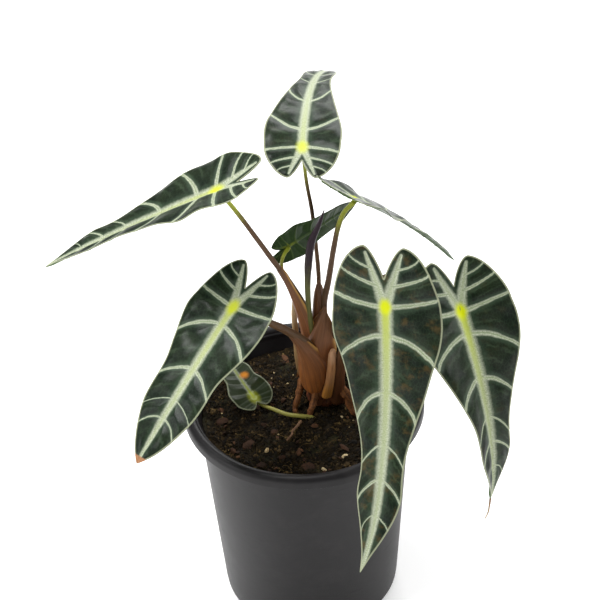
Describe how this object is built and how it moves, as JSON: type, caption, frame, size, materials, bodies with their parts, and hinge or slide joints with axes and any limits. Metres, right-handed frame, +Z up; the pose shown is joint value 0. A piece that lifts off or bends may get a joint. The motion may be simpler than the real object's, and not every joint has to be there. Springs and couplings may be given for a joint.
{
  "type": "potted alocasia",
  "caption": "Young alocasia with arrow-shaped pale-veined leaves on arching stalks, in a round tapered nursery pot with a rolled rim.",
  "frame": {"origin": "centre of the flat pad in the middle of the pot's underside, on the surface the pot stands on", "axes": "+Z up along the pot's axis; -Y towards the side where the longest blade hangs over the rim, +X to the right of it"},
  "size_m": [0.2416, 0.2494, 0.282],
  "materials": {
    "corm": "brown and papery",
    "new_leaf": "rolled, dark purple-green and waxy",
    "leaf_stalk": "reddish brown with fine streaks, lime green at the top",
    "old_stalk": "dry pale olive",
    "root": "reddish brown and ridged",
    "seedling_stalk": "smooth yellow-green",
    "leaf_blade": "glossy dark green with feathered silver-green veins",
    "fine_root": "pale cream",
    "bark": "broken reddish-brown bark",
    "perlite": "pale porous crumbs",
    "potting_mix": "moist, crumbly and dark",
    "pot": "smooth satin black polypropylene"
  },
  "bodies": {
    "root": {"corm": "corm", "new_leaf": "new_leaf", "stalk_top": "leaf_stalk", "stalk_upper_right": "leaf_stalk", "stalk_upper_left": "leaf_stalk", "stalk_back": "leaf_stalk", "stalk_right": "leaf_stalk", "stalk_front": "leaf_stalk", "stalk_lower_left": "leaf_stalk", "old_stalk": "old_stalk", "root_left": "root", "root_front": "root", "root_right": "root", "root_far": "root", "root_behind": "root", "stalk_seedling": "seedling_stalk", "blade_top": "leaf_blade", "blade_upper_right": "leaf_blade", "blade_upper_left": "leaf_blade", "blade_back": "leaf_blade", "blade_right": "leaf_blade", "blade_front": "leaf_blade", "blade_lower_left": "leaf_blade", "blade_seedling": "leaf_blade", "root_surface": "fine_root", "bark_1": "bark", "bark_2": "bark", "bark_3": "bark", "bark_4": "bark", "bark_5": "bark", "bark_6": "bark", "bark_7": "bark", "bark_8": "bark", "bark_9": "bark", "bark_10": "bark", "bark_11": "bark", "bark_12": "bark", "bark_13": "bark", "bark_14": "bark", "perlite_1": "perlite", "perlite_2": "perlite", "perlite_3": "perlite", "perlite_4": "perlite", "potting_mix": "potting_mix", "nursery_pot": "pot"}
  },
  "joints": []
}
